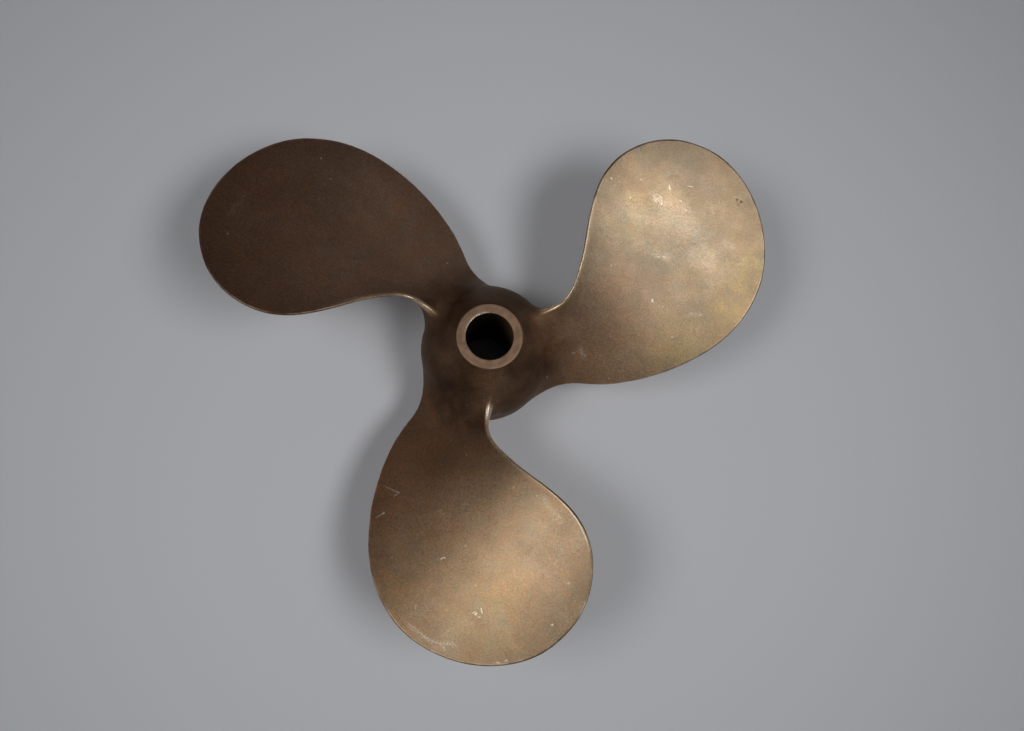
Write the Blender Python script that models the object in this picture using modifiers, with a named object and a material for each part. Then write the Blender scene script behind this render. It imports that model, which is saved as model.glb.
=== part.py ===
"""Three-bladed ship propeller, one bronze casting with a turned hub, helical blades and a tapered bore.

The shaft axis is Z and points aft. The origin is the bore's centre on the forward hub face,
which is the face that the propeller rests on. All sizes are in metres and all angles in degrees.
"""

import math

import bmesh
import bpy
import numpy as np

# Driving dimensions of the whole propeller
DIAMETER = 0.3556
PITCH = 0.235
RAKE_ANGLE = 5.66
BLADE_COUNT = 3
FIRST_BLADE_BEARING = 30.0

# Hub: a turned body that flares from the narrow aft face to its full radius
HUB_LENGTH = 0.0794
HUB_RADIUS = 0.039
AFT_FACE_RADIUS = 0.0187
FORWARD_FACE_RADIUS = 0.037
FLARE_LENGTH = 0.04
AFT_CHAMFER = 0.0006
FORWARD_CHAMFER = 0.002
FLARE_STEPS = 14
FOREBODY_STEPS = 4
HUB_SIDES = 72

# Bore: the shaft's taper of 1 in 16 on the diameter, widest at the forward face
SHAFT_DIAMETER = 0.03175
BORE_TAPER = 1 / 16
BORE_CHAMFER = 0.0003
BORE_SIDES = 72
CUTTER_OVERRUN = 0.005

# Blade: its face is a true helicoid through a raked line that leaves the axis at this height
GENERATOR_HEIGHT = 0.0559
TIP_BEARING = 4.5
ROOT_STATION = 0.2
ROOT_THICKNESS = 0.0125
TIP_THICKNESS = 0.0024
EDGE_THICKNESS = 0.0018

# Blade outline: radius as a share of the tip radius, then the bearings of the leading
# and trailing edges from the blade's generator line
OUTLINE = (
    (0.12, -43.5, 2.4),
    (0.20, -44.5, 2.4),
    (0.30, -44.2, 5.6),
    (0.40, -41.3, 16.1),
    (0.50, -37.0, 24.9),
    (0.60, -32.5, 29.4),
    (0.70, -27.8, 29.8),
    (0.80, -22.6, 27.1),
    (0.90, -15.4, 21.7),
    (0.96, -8.5, 15.9),
    (0.99, -1.9, 10.6),
)

# Root fillet: a quarter circle between the blade and the hub, narrower at the trailing edge
FILLET_RADIUS = 0.022
TRAILING_FILLET_SHARE = 0.45
FILLET_STEPS = 6
FILLET_END_ANGLE = 72.0
BURIED_DEPTH = 0.001
FOOT_DEPTH = 0.003
HUB_FOLLOWING_END = 0.48

# Facets of a blade
CHORD_STEPS = 16
SPAN_STEPS = 24

BRONZE_COLOUR = (0.13, 0.078, 0.04, 1.0)
BRONZE_ROUGHNESS = 0.42
SHARP_ANGLE = 35.0

TIP_RADIUS = DIAMETER / 2
HELIX_RISE = PITCH / (2 * math.pi)
RAKE_SLOPE = math.tan(math.radians(RAKE_ANGLE))


def hub_radius_at(height):
    """Outer radius of the hub at a height above its forward face, without the chamfers."""
    below_aft = HUB_LENGTH - height
    if below_aft < FLARE_LENGTH:
        share = max(below_aft, 0.0) / FLARE_LENGTH
        return AFT_FACE_RADIUS + (HUB_RADIUS - AFT_FACE_RADIUS) * math.sin(share * math.pi / 2)
    share = (below_aft - FLARE_LENGTH) / (HUB_LENGTH - FLARE_LENGTH)
    return HUB_RADIUS - (HUB_RADIUS - FORWARD_FACE_RADIUS) * min(share, 1.0) ** 2


def smooth_value(places, values, place):
    """Value at a place on a smooth curve through the given values (cubic Hermite)."""
    slopes = np.gradient(values, places)
    index = int(np.clip(np.searchsorted(places, place) - 1, 0, len(places) - 2))
    width = places[index + 1] - places[index]
    share = (place - places[index]) / width
    rest = 1 - share
    start = values[index] * (1 + 2 * share) + slopes[index] * width * share
    end = values[index + 1] * (1 + 2 * rest) - slopes[index + 1] * width * rest
    return start * rest ** 2 + end * share ** 2


def edge_curves():
    """Edge bearings from the tip's bearing, over sqrt(1 - r / R), which makes the tip round."""
    stations = np.array([row[0] for row in OUTLINE])
    roundness = np.sqrt(1 - stations)
    leading = (np.array([row[1] for row in OUTLINE]) - TIP_BEARING) / roundness
    trailing = (np.array([row[2] for row in OUTLINE]) - TIP_BEARING) / roundness
    return stations, leading, trailing


STATIONS, LEADING_CURVE, TRAILING_CURVE = edge_curves()


def edge_bearing(curve, radius):
    """Bearing, in radians from the generator line, of a blade edge at a radius."""
    station = min(radius / TIP_RADIUS, 1.0)
    value = smooth_value(STATIONS, curve, station)
    return math.radians(TIP_BEARING + value * math.sqrt(1 - station))


def blade_thickness(radius):
    """Greatest thickness of the blade's section at a radius."""
    share = (radius / TIP_RADIUS - ROOT_STATION) / (1 - ROOT_STATION)
    return ROOT_THICKNESS + (TIP_THICKNESS - ROOT_THICKNESS) * share


def face_height(radius, bearing):
    """Height of the blade's aft face, a helicoid with rake."""
    return GENERATOR_HEIGHT + RAKE_SLOPE * radius + HELIX_RISE * bearing


def hub_following(radius):
    """Share in which a section lies parallel to the hub: 1 at the root, 0 further out."""
    start = HUB_RADIUS + FILLET_RADIUS
    end = HUB_FOLLOWING_END * TIP_RADIUS
    share = min(max((radius - start) / (end - start), 0.0), 1.0)
    return 1 - share * share * (3 - 2 * share)


def section_radius(nominal_radius, height):
    """Radius of a section's point: the nominal one, bent to follow the hub near the root."""
    dip = hub_radius_at(height) - HUB_RADIUS
    return nominal_radius + hub_following(nominal_radius) * dip


def edge_point(curve, nominal_radius):
    """Bearing of a section's edge, where the section meets the blade's outline."""
    radius = nominal_radius
    for _ in range(6):
        bearing = edge_bearing(curve, radius)
        radius = section_radius(nominal_radius, face_height(radius, bearing))
    return bearing


def spread_direction(turn, chord, thickness):
    """Shares in which the root fillet moves a section's point along the chord and across it.

    The leading half spreads along the normal of an ellipse round the section. The trailing half
    draws in to a narrow ridge, which carries the trailing edge on over the hub.
    """
    angle = math.radians(turn)
    if math.cos(angle) < 0:
        return math.cos(angle) ** 2, math.sin(angle)
    along = -math.cos(angle) / chord
    deep = math.sin(angle) / thickness
    size = math.hypot(along, deep)
    return along / size, deep / size


def section_point(nominal_radius, turn, leading, trailing, spread):
    """One point of a section.

    The turn runs from 0 at the leading edge over the flat aft face to 180 at the trailing edge,
    and back over the rounded side to 360. The spread moves the point outward, which forms the
    root fillet.
    """
    across = (1 - math.cos(math.radians(turn))) / 2
    bearing = leading + (trailing - leading) * across
    radius = nominal_radius
    for _ in range(4):
        radius = section_radius(nominal_radius, face_height(radius, bearing))
    helix_length = math.hypot(radius, HELIX_RISE)
    along = (radius / helix_length, HELIX_RISE / helix_length)
    chord = (trailing - leading) * helix_length
    from_edge = min(across, 1 - across) * chord
    rounding = math.sqrt(max(1 - (1 - min(from_edge / (EDGE_THICKNESS / 2), 1.0)) ** 2, 0.0))
    full = EDGE_THICKNESS + (blade_thickness(radius) - EDGE_THICKNESS) * 4 * across * (1 - across)
    depth = -EDGE_THICKNESS / 2
    if turn < 180:
        depth += EDGE_THICKNESS / 2 * rounding
    else:
        depth -= (full - EDGE_THICKNESS / 2) * rounding
    shift_share, depth_share = spread_direction(turn, chord, blade_thickness(radius))
    spread *= 1 - (1 - TRAILING_FILLET_SHARE) * across
    shift = spread * shift_share
    depth += spread * depth_share
    height = face_height(radius, bearing) + shift * along[1] + depth * along[0]
    bearing += (shift * along[0] - depth * along[1]) / radius
    radius = section_radius(nominal_radius, height)
    return (radius * math.cos(bearing), radius * math.sin(bearing), height)


def section(nominal_radius, spread):
    """Closed ring of points round the blade at one station."""
    leading = edge_point(LEADING_CURVE, nominal_radius)
    trailing = edge_point(TRAILING_CURVE, nominal_radius)
    turns = (180 * step / CHORD_STEPS for step in range(2 * CHORD_STEPS))
    return [section_point(nominal_radius, turn, leading, trailing, spread) for turn in turns]


def blade_sections():
    """Rings from the foot inside the hub, up the root fillet and out to just short of the tip."""
    rings = []
    end_angle = math.radians(FILLET_END_ANGLE)
    end_height = FILLET_RADIUS * (1 - math.sin(end_angle))
    end_spread = FILLET_RADIUS * (1 - math.cos(end_angle))
    buried_spread = end_spread + (end_height + BURIED_DEPTH) * math.tan(end_angle)
    rings.append(section(HUB_RADIUS - FOOT_DEPTH, buried_spread))
    rings.append(section(HUB_RADIUS - BURIED_DEPTH, buried_spread))
    for step in range(FILLET_STEPS):
        angle = end_angle * (1 - step / FILLET_STEPS)
        height = FILLET_RADIUS * (1 - math.sin(angle))
        spread = FILLET_RADIUS * (1 - math.cos(angle))
        rings.append(section(HUB_RADIUS + height, spread))
    start = HUB_RADIUS + FILLET_RADIUS
    for step in range(SPAN_STEPS):
        share = math.sin(math.pi / 2 * step / SPAN_STEPS)
        rings.append(section(start + (TIP_RADIUS - start) * share, 0.0))
    return rings


def tip_point():
    """The single point where the blade's outline reaches the tip radius."""
    bearing = math.radians(TIP_BEARING)
    height = face_height(TIP_RADIUS, bearing) - EDGE_THICKNESS / 2
    return (TIP_RADIUS * math.cos(bearing), TIP_RADIUS * math.sin(bearing), height)


def blade_mesh():
    """Closed loft through the blade's sections, with a ribbed foot inside the hub."""
    mesh = bpy.data.meshes.new("blade")
    form = bmesh.new()
    rings = [[form.verts.new(point) for point in ring] for ring in blade_sections()]
    count = 2 * CHORD_STEPS
    for lower, upper in zip(rings, rings[1:]):
        for i in range(count):
            j = (i + 1) % count
            form.faces.new((lower[i], lower[j], upper[j], upper[i]))
    tip = form.verts.new(tip_point())
    last = rings[-1]
    for i in range(count):
        form.faces.new((last[i], last[(i + 1) % count], tip))
    foot = rings[0]
    for i in range(CHORD_STEPS):
        mirror = (count - i) % count
        corners = [foot[i], foot[mirror], foot[mirror - 1], foot[i + 1]]
        form.faces.new(list(dict.fromkeys(corners)))
    bmesh.ops.recalc_face_normals(form, faces=form.faces)
    form.to_mesh(mesh)
    form.free()
    mesh.shade_smooth()
    return mesh


def new_collection(name):
    collection = bpy.data.collections.new(name)
    bpy.context.scene.collection.children.link(collection)
    return collection


def turned_object(name, profile, sides, collection):
    """Solid turned about Z from a profile of (radius, height) points, from top to bottom."""
    mesh = bpy.data.meshes.new(name)
    points = [(radius, 0.0, height) for radius, height in profile]
    mesh.from_pydata(points, [(i, i + 1) for i in range(len(points) - 1)], [])
    body = bpy.data.objects.new(name, mesh)
    collection.objects.link(body)
    screw = body.modifiers.new("Turned", "SCREW")
    screw.axis = "Z"
    screw.angle = math.tau
    screw.steps = sides
    screw.render_steps = sides
    screw.use_merge_vertices = True
    screw.merge_threshold = 0.00001
    screw.use_smooth_shade = True
    return body


def hub_profile():
    """Outer side of the hub from the axis on the aft face down to the axis on the forward face."""
    profile = [(0.0, HUB_LENGTH), (AFT_FACE_RADIUS - AFT_CHAMFER, HUB_LENGTH)]
    first = HUB_LENGTH - AFT_CHAMFER
    flare_foot = HUB_LENGTH - FLARE_LENGTH
    for step in range(FLARE_STEPS + 1):
        height = first + (flare_foot - first) * step / FLARE_STEPS
        profile.append((hub_radius_at(height), height))
    for step in range(1, FOREBODY_STEPS + 1):
        height = flare_foot + (FORWARD_CHAMFER - flare_foot) * step / FOREBODY_STEPS
        profile.append((hub_radius_at(height), height))
    profile += [(FORWARD_FACE_RADIUS - FORWARD_CHAMFER, 0.0), (0.0, 0.0)]
    return profile


def bore_radius_at(height):
    """Radius of the tapered bore at a height above the forward face."""
    return (SHAFT_DIAMETER - BORE_TAPER * height) / 2


def bore_profile():
    """Tapered bore with a chamfer at each mouth, and both ends run on past the hub's faces."""
    top = HUB_LENGTH + CUTTER_OVERRUN
    top_radius = bore_radius_at(HUB_LENGTH) + BORE_CHAMFER + CUTTER_OVERRUN
    bottom_radius = bore_radius_at(0.0) + BORE_CHAMFER + CUTTER_OVERRUN
    upper_neck = HUB_LENGTH - BORE_CHAMFER
    lower_neck = BORE_CHAMFER
    return [
        (0.0, top),
        (top_radius, top),
        (bore_radius_at(upper_neck), upper_neck),
        (bore_radius_at(lower_neck), lower_neck),
        (bottom_radius, -CUTTER_OVERRUN),
        (0.0, -CUTTER_OVERRUN),
    ]


def bronze_material():
    material = bpy.data.materials.new("aged_bronze")
    material.use_nodes = True
    shader = material.node_tree.nodes["Principled BSDF"]
    shader.inputs["Base Color"].default_value = BRONZE_COLOUR
    shader.inputs["Metallic"].default_value = 1.0
    shader.inputs["Roughness"].default_value = BRONZE_ROUGHNESS
    return material


def combine(body, tool, operation):
    """Boolean that joins or cuts the body with a hidden tool."""
    modifier = body.modifiers.new(tool.name, "BOOLEAN")
    modifier.object = tool
    modifier.operation = operation
    modifier.solver = "EXACT"
    tool.hide_render = True
    tool.display_type = "WIRE"


def finish_mesh(body):
    """Turn the modifiers' result into the body's own mesh, smooth but for its turned corners."""
    graph = bpy.context.evaluated_depsgraph_get()
    mesh = bpy.data.meshes.new_from_object(body.evaluated_get(graph))
    mesh.shade_smooth()
    mesh.set_sharp_from_angle(angle=math.radians(SHARP_ANGLE))
    body.modifiers.clear()
    body.data = mesh


def build_propeller():
    parts = new_collection("ship_propeller")
    tools = new_collection("propeller_tools")
    propeller = turned_object("propeller", hub_profile(), HUB_SIDES, parts)
    propeller.data.materials.append(bronze_material())
    mesh = blade_mesh()
    for index in range(BLADE_COUNT):
        blade = bpy.data.objects.new(f"blade_{index + 1}", mesh)
        bearing = FIRST_BLADE_BEARING + 360 * index / BLADE_COUNT
        blade.rotation_euler = (0.0, 0.0, math.radians(bearing))
        tools.objects.link(blade)
        combine(propeller, blade, "UNION")
    bore = turned_object("shaft_bore", bore_profile(), BORE_SIDES, tools)
    combine(propeller, bore, "DIFFERENCE")
    finish_mesh(propeller)


def main():
    for old in list(bpy.data.objects):
        bpy.data.objects.remove(old)
    build_propeller()


main()
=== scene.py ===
import math

import bmesh
import bpy
import numpy as np
from mathutils import Euler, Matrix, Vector, noise


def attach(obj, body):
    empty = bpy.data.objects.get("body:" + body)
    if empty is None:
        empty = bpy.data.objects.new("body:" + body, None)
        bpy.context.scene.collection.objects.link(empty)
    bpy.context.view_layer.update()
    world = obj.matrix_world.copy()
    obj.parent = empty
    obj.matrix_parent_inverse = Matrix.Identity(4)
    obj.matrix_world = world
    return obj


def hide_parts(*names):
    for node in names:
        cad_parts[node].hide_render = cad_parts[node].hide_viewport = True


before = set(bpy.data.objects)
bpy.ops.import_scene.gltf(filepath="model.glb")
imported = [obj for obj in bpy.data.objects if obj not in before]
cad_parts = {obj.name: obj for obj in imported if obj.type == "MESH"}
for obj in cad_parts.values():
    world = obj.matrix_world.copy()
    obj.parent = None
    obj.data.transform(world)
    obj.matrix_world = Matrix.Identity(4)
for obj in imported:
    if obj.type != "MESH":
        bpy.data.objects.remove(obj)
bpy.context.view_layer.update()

# Driving sizes of the propeller, in metres and degrees, the same as those of its solid
DIAMETER = 0.3556
PITCH = 0.235
RAKE_ANGLE = 5.66
BLADE_COUNT = 3
FIRST_BLADE_BEARING = 30.0
HUB_LENGTH = 0.0794
HUB_RADIUS = 0.039
AFT_FACE_RADIUS = 0.0187
FORWARD_FACE_RADIUS = 0.037
FLARE_LENGTH = 0.04
AFT_CHAMFER = 0.0006
FORWARD_CHAMFER = 0.002
SHAFT_DIAMETER = 0.03175
BORE_TAPER = 1 / 16
BORE_CHAMFER = 0.0003
GENERATOR_HEIGHT = 0.0559
TIP_BEARING = 4.5
ROOT_STATION = 0.2
ROOT_THICKNESS = 0.0125
TIP_THICKNESS = 0.0024
EDGE_THICKNESS = 0.0018
FILLET_RADIUS = 0.022
TRAILING_FILLET_SHARE = 0.45
HUB_FOLLOWING_END = 0.48

# Blade outline: radius as a share of the tip radius, then the bearings in degrees of the
# leading and trailing edges from the blade's generator line
OUTLINE = (
    (0.12, -43.5, 2.4),
    (0.20, -44.5, 2.4),
    (0.30, -44.2, 5.6),
    (0.40, -41.3, 16.1),
    (0.50, -37.0, 24.9),
    (0.60, -32.5, 29.4),
    (0.70, -27.8, 29.8),
    (0.80, -22.6, 27.1),
    (0.90, -15.4, 21.7),
    (0.96, -8.5, 15.9),
    (0.99, -1.9, 10.6),
)

# Rounding of the bore's aft mouth, where the solid has a small plain chamfer
MOUTH_ROUNDING = 0.0005

# The ridge that the trailing edge's root forms, as shares of the tip radius and of the chord
RIDGE_START = 0.3
RIDGE_END = 0.55
RIDGE_ACROSS = 0.955

# Stations between which an edge's distance turns from along the chord to towards the tip
TIP_BLEND_START = 0.8
TIP_BLEND_END = 0.88

# Shares of the fillet's radius, out from the hub, over which a blade's rim comes to count
# as an edge
FOOT_START = 0.1
FOOT_END = 0.6

# Least roundness of the outline, which keeps a divisor off zero at the tip
LEAST_ROUNDNESS = 0.1

# Distance from an edge, in metres, that stands for the whole inside of the casting
INNER_GAP = 0.03

# Radii between which the hub's tone changes into that of a blade
ROOT_TONE_START = 0.036
ROOT_TONE_END = 0.066

# Unevenness of the hand-ground casting: depth in metres and waves in a metre
RIPPLES = ((0.00005, 60.0), (0.000015, 190.0))

# One blade's share of the hub: heights of its ends and bearings of its middle there
PATCH_TOP = 0.076
PATCH_BOTTOM = 0.006
PATCH_TOP_BEARING = -8.0
PATCH_BOTTOM_BEARING = -48.0

# Fineness of the surface, in steps along each stretch
CHORD_STEPS = 80
SPAN_STEPS = 104
FILLET_STEPS = 18
PATCH_STEPS = 14
PATCH_SIDE_STEPS = 32
AFT_END_STEPS = 5
AFT_CHAMFER_STEPS = 6
AFT_FACE_STEPS = 6
MOUTH_STEPS = 6
BORE_STEPS = 24
FORWARD_FACE_STEPS = 9
FORWARD_CHAMFER_STEPS = 4
FORWARD_END_STEPS = 3

# How often a place that depends on itself is worked out again
EDGE_PASSES = 6
SECTION_PASSES = 4
PATCH_PASSES = 200

# Share of a hub point's place that comes from the points beside it in its own ring
RING_PULL = 0.25

# Points closer than this in metres are joined, and folds sharper than this in degrees
# are sharp edges
MERGE_DISTANCE = 0.000002
SHARP_ANGLE = 35.0

# Places of the three materials in the mesh
CAST, MACHINED, BORED = range(3)

# Camera: a 35 mm lens a little over half a metre from the hub, a little off the shaft's axis,
# placed in metres and turned in degrees
CAMERA_PLACE = (-0.0161, -0.1211, 0.6221)
CAMERA_TURN = (10.722, -4.009, 4.506)
CAMERA_LENS = 35.0
CAMERA_SENSOR = 36.0

# Soft boxes, facing the propeller: place, width and depth in metres, and watts, then the
# angle of their beams in degrees
SOFT_BOXES = {
    "left_light": ((-0.71, -0.23, 1.30), (0.6, 0.45), 0.52),
    "right_light": ((0.64, -0.29, 1.36), (0.7, 0.4), 0.83),
}
LIGHT_SPREAD = 58.0

# Strength of the light of the surroundings
HORIZON_LIGHT = 0.38
OVERHEAD_LIGHT = 0.004

FLOOR_SIZE = 60.0
FLOOR_COLOUR = (0.68, 0.69, 0.725, 1.0)
FLOOR_ROUGHNESS = 0.9
FLOOR_GLOSS = 0.1

# Places on the blades in plan, in millimetres from the shaft's axis
RIGHT_ROOT = (58.0, -12.0)
LEFT_ROOT = (-30.0, 62.0)
LEFT_TIP = (-160.0, 10.0)
# Ends of the lower blade's change from painted shade to painted light
LOWER_SHADED = (-40.0, -70.0)
LOWER_LIT = (20.0, -120.0)

# Soft round patches in plan: centre, radius in millimetres and strength
HUB_RIGHT_PATCH = ((31.0, 8.0), 24.0, 1.0)
HUB_LOWER_PATCH = ((4.0, -28.0), 17.0, 1.0)
# Painted glint on the lower blade's ridge, where it meets the hub
RIDGE_GLINT = ((1.9, -39.5), 10.0, 0.85)
HUB_GOLD_PATCH = ((-24.0, -13.0), 11.0, 0.12)
# Painted glints on the upper left of the bore's lip
LIP_GLINTS = ((-9.5, 9.5), 13.0, 1.0)
# Painted sheen on the upper right of the bore's wall
BORE_SHEEN_PATCH = ((12.0, 4.0), 16.0, 1.0)

# Patches where the patina is lighter or darker, by a share of its brightness: partly patina, partly
# painted highlight and painted shade
TONE_AND_PAINTED_LIGHT_PATCHES = (
    ((98.0, 12.0), 42.0, 0.5),
    ((108.0, 56.0), 30.0, -0.16),
    ((66.0, 26.0), 26.0, 0.2),
    ((50.0, 42.0), 18.0, 0.16),
    ((110.0, 122.0), 22.0, 0.12),
    ((137.0, 92.0), 24.0, -0.07),
    ((120.0, 4.0), 28.0, 0.12),
    ((95.0, 100.0), 22.0, -0.1),
    ((127.0, 60.0), 24.0, 0.08),
    ((82.0, 93.0), 18.0, -0.1),
    ((79.0, 53.0), 26.0, -0.08),
    ((140.0, 76.0), 20.0, -0.14),
    ((63.0, 103.0), 20.0, -0.14),
    ((17.0, -135.0), 40.0, 0.22),
    ((-4.0, -60.0), 44.0, -0.42),
    ((-26.0, -72.0), 24.0, -0.2),
    ((-100.0, 45.0), 50.0, 0.14),
    ((-65.0, 83.0), 48.0, 0.32),
    ((-60.0, 24.0), 26.0, -0.24),
    ((-158.0, 28.0), 30.0, -0.12),
    ((-13.0, -92.0), 28.0, 0.1),
    ((-36.0, -134.0), 26.0, -0.14),
    ((46.0, -95.0), 24.0, -0.12),
    ((8.0, -166.0), 22.0, -0.06),
    ((-20.0, 64.0), 26.0, 0.2),
    ((-19.4, -14.7), 10.0, 0.2),
    ((-13.0, -33.0), 14.0, 0.16),
    ((20.0, -26.0), 13.0, 0.22),
    ((33.0, -12.0), 12.0, -0.1),
    # Painted shade in the hollow low on the hub's left
    ((-18.1, -26.0), 7.0, -0.16),
    ((-26.0, -26.0), 8.0, -0.12),
    # Painted highlights where the trailing-edge ridges of the left and right blades meet the hub
    ((-31.0, 17.0), 8.0, 0.5),
    ((27.7, 16.5), 9.0, 0.55),
)

# Patches of a yellower and of a rosier patina
YELLOW_PATCHES = (
    ((150.0, 58.0), 24.0, 0.7),
    ((140.0, 34.0), 26.0, 0.8),
    ((112.0, 8.0), 32.0, 0.9),
    ((74.0, 80.0), 22.0, 0.6),
    ((14.0, -148.0), 36.0, 0.55),
    ((-40.0, -143.0), 20.0, 0.5),
)
ROSY_PATCHES = (
    ((68.0, 50.0), 26.0, 0.8),
    ((90.0, 38.0), 30.0, 0.7),
    ((64.0, 22.0), 26.0, 0.9),
    ((46.0, -130.0), 26.0, 0.5),
    ((66.0, 108.0), 20.0, 0.6),
)

# Marks in plan: start, end and width in millimetres, and strength
PALE_MARKS = (
    ((97.6, 99.8), (98.1, 98.0), 0.8, 0.45),
    ((92.5, 93.4), (92.8, 92.9), 0.7, 0.4),
    ((90.0, 90.4), (90.5, 90.8), 0.8, 0.45),
    ((93.4, 89.8), (94.1, 89.5), 0.8, 0.5),
    ((109.4, 101.0), (111.3, 101.3), 0.6, 0.35),
    ((104.7, 92.5), (105.8, 92.2), 0.5, 0.4),
    ((108.0, 89.2), (109.5, 87.3), 0.4, 0.3),
    ((80.2, 100.9), (80.5, 100.7), 0.7, 0.4),
    ((62.5, 98.8), (62.7, 98.5), 0.7, 0.4),
    ((94.9, 60.2), (96.4, 60.0), 0.5, 0.35),
    ((98.4, 60.4), (100.3, 59.9), 0.5, 0.35),
    ((95.2, 36.1), (95.3, 35.2), 1.1, 0.75),
    ((102.0, 33.2), (102.2, 33.0), 0.6, 0.45),
    ((109.5, 16.5), (109.7, 16.3), 0.7, 0.5),
    ((57.7, 4.0), (58.1, 3.0), 0.7, 0.45),
    ((51.4, 3.2), (53.1, 3.2), 0.5, 0.35),
    ((68.7, 2.6), (68.9, 2.5), 0.5, 0.35),
    ((68.0, 52.3), (68.2, 52.0), 0.7, 0.3),
    ((8.9, -147.5), (9.4, -149.4), 0.8, 1.0),
    ((7.7, -151.7), (8.6, -151.9), 0.6, 1.0),
    ((4.4, -149.9), (6.2, -149.2), 0.6, 0.9),
    ((6.0, -150.8), (6.8, -149.9), 0.7, 1.0),
    ((-15.3, -122.8), (-12.9, -122.1), 0.6, 1.0),
    ((-50.9, -84.8), (-44.0, -87.6), 0.4, 0.5),
    ((-44.0, -87.6), (-41.9, -87.9), 0.4, 0.6),
    ((-41.9, -87.9), (-44.9, -90.3), 0.4, 0.5),
    ((-53.7, -103.2), (-49.9, -100.3), 0.5, 0.55),
    ((-49.8, -100.2), (-49.5, -100.0), 0.8, 0.9),
    ((-29.5, -158.2), (-21.0, -163.8), 0.5, 0.3),
    ((-21.0, -163.8), (-13.5, -167.1), 0.5, 0.45),
    ((4.7, -135.6), (4.9, -135.3), 1.1, 0.4),
    ((-2.2, -114.9), (-2.0, -114.6), 0.8, 0.25),
    ((-42.5, -124.3), (-42.3, -124.1), 0.9, 0.25),
    ((53.4, -130.1), (53.7, -130.0), 1.3, 0.25),
    ((46.5, -152.4), (46.7, -152.3), 0.8, 0.55),
    ((-26.6, -150.2), (-26.5, -148.9), 0.5, 0.4),
    ((-9.2, -149.8), (-9.0, -149.6), 0.6, 0.35),
    ((32.7, -103.1), (32.9, -102.9), 0.6, 0.35),
    ((-6.2, -64.2), (-5.8, -64.0), 0.9, 0.2),
    ((19.4, -174.0), (20.2, -174.2), 1.1, 0.35),
    ((23.4, -172.8), (24.2, -172.6), 1.0, 0.35),
    ((-106.7, 102.5), (-106.5, 102.3), 0.7, 0.4),
    ((-27.1, 52.1), (-26.9, 51.9), 0.6, 0.35),
)
PALE_SMEARS = (
    ((89.8, 92.4), (94.6, 90.2), 5.0, 0.36),
    ((118.8, 30.2), (124.9, 30.4), 2.6, 0.26),
    ((134.6, 71.6), (139.4, 69.9), 4.2, 0.2),
    ((107.6, 90.4), (110.4, 87.0), 5.0, 0.16),
    ((98.0, 87.0), (114.0, 78.0), 16.0, 0.14),
    ((70.0, 84.0), (84.0, 80.0), 14.0, 0.12),
    ((94.0, 62.0), (101.0, 60.0), 6.0, 0.16),
    ((116.0, 64.0), (126.0, 58.0), 12.0, 0.12),
    ((56.4, 4.6), (59.2, 2.2), 4.6, 0.34),
    ((-29.0, -159.6), (-14.0, -168.6), 2.4, 0.35),
    ((-12.5, -166.6), (-8.6, -169.6), 3.2, 0.4),
    ((-9.2, -166.6), (-3.2, -167.5), 3.0, 0.45),
    ((-16.6, -166.4), (1.8, -153.8), 1.0, 0.28),
    ((-18.4, -96.6), (-16.8, -98.8), 3.0, 0.25),
    ((36.6, -86.0), (47.0, -97.6), 5.0, 0.18),
    ((0.0, -140.0), (16.0, -152.0), 16.0, 0.1),
    ((-150.2, 57.6), (-145.0, 70.6), 5.0, 0.07),
    ((-142.4, 81.6), (-133.8, 79.4), 4.0, 0.06),
)

# Painted highlight along a stretch of the lower blade's right edge, in the same form
EDGE_HIGHLIGHT = (
    ((40.5, -83.2), (47.7, -89.8), 3.0, 0.3),
    ((47.7, -89.8), (53.3, -95.8), 3.0, 0.45),
    ((53.3, -95.8), (57.9, -101.8), 3.0, 0.6),
    ((57.9, -101.8), (61.0, -107.0), 3.0, 0.45),
    ((61.0, -107.0), (62.8, -111.5), 3.0, 0.2),
)

# Pits and a dark scratch, in the same form
DARK_MARKS = (
    ((141.5, 96.4), (141.7, 96.2), 1.4, 1.0),
    ((138.9, 97.2), (139.1, 97.0), 1.1, 0.9),
    ((139.9, 94.9), (140.1, 94.7), 0.9, 0.7),
    ((55.6, 72.4), (67.5, 64.6), 0.5, 0.25),
    ((-80.2, 41.3), (-80.0, 41.3), 1.1, 0.4),
)

# Colours in linear light
HUB_BROWN = (0.075, 0.041, 0.023, 1.0)
HUB_PATCH_BROWN = (0.2, 0.115, 0.066, 1.0)
LEFT_ROOT_BROWN = (0.188, 0.111, 0.071, 1.0)
LEFT_TIP_BROWN = (0.141, 0.074, 0.0435, 1.0)
RIGHT_BROWN = (0.3, 0.18, 0.105, 1.0)
LOWER_BROWN = (0.206, 0.108, 0.058, 1.0)
# Golds of the right and lower blades, partly standing in for the lamps' highlights as painted light
GREY_GOLD = (0.217, 0.165, 0.109, 1.0)
WARM_GOLD = (0.246, 0.176, 0.106, 1.0)
LOWER_GOLD = (0.322, 0.222, 0.132, 1.0)
# Bright gold of the trailing-edge ridges: worn metal, brightened as painted highlight
RIDGE_GOLD_AND_HIGHLIGHT = (0.75, 0.55, 0.36, 1.0)
DUST_GOLD = (0.42, 0.33, 0.21, 1.0)
# Pale colour of scratches and flecks, also used for painted glints
PALE_MARK_AND_GLINT = (0.85, 0.77, 0.65, 1.0)
DARK_MARK = (0.03, 0.02, 0.015, 1.0)
RUBBED_EDGE_AND_HIGHLIGHT = (0.8, 0.66, 0.5, 1.0)
WARM_TINT = (1.05, 0.985, 0.94, 1.0)
COOL_TINT = (0.955, 1.01, 1.07, 1.0)
YELLOW_TINT = (1.025, 1.0, 0.8, 1.0)
ROSY_TINT = (1.03, 0.945, 0.93, 1.0)
GRAZING_TINT = (0.85, 0.74, 0.66, 1.0)
TURNED_DARK = (0.283, 0.173, 0.106, 1.0)
TURNED_LIGHT = (0.348, 0.216, 0.138, 1.0)
BORE_DARK = (0.008, 0.006, 0.004, 1.0)
BORE_LIGHT = (0.035, 0.024, 0.012, 1.0)
BORE_SHEEN = (0.16, 0.11, 0.055, 1.0)

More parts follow.
